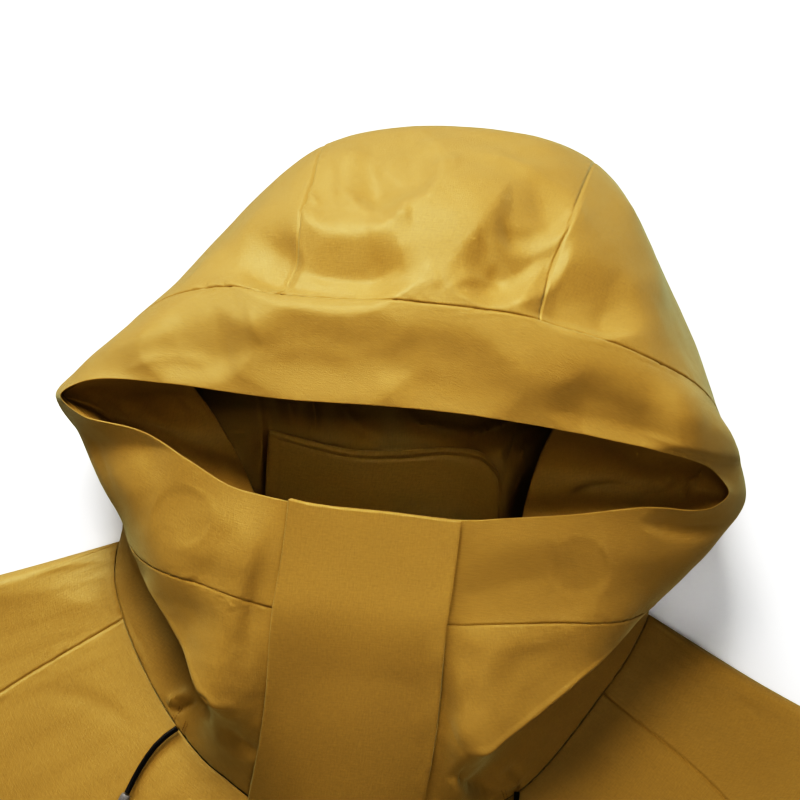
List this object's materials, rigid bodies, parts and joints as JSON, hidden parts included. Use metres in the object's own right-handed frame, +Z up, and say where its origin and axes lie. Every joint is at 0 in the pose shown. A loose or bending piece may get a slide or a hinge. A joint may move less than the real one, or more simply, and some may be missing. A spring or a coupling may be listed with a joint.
{
  "type": "hooded jacket",
  "caption": "Hooded jacket lying on its back: raglan sleeves, plain storm flap down the front, tall closed collar and filled-out three-panel hood.",
  "frame": {"origin": "on the floor plane under the back of the neck, on the centre line, 22 mm to the hood's side of the neck seam", "axes": "+X across the fronts, +Y from the hem to the hood, +Z up from the surface the jacket lies on"},
  "size_m": [1.196, 0.9422, 0.1529],
  "materials": {
    "shell_cloth": "ochre plain weave, matte with a slight sheen",
    "lining_cloth": "dark ochre plain weave, matte",
    "cord_black": "black braided elastic, smooth",
    "cord_end_grey": "grey plastic, satin"
  },
  "bodies": {
    "root": {"back": "shell_cloth", "front_left": "shell_cloth", "front_right": "shell_cloth", "sleeve_left": "shell_cloth", "sleeve_right": "shell_cloth", "hood_centre": "shell_cloth", "hood_side_left": "shell_cloth", "hood_side_right": "shell_cloth", "hood_band": "shell_cloth", "collar_left": "shell_cloth", "collar_right": "shell_cloth", "storm_flap": "shell_cloth", "facing_left": "lining_cloth", "facing_right": "lining_cloth", "neck_panel": "lining_cloth", "cord_left": "cord_black", "cord_right": "cord_black", "cord_end_left": "cord_end_grey", "cord_end_right": "cord_end_grey"}
  },
  "joints": []
}
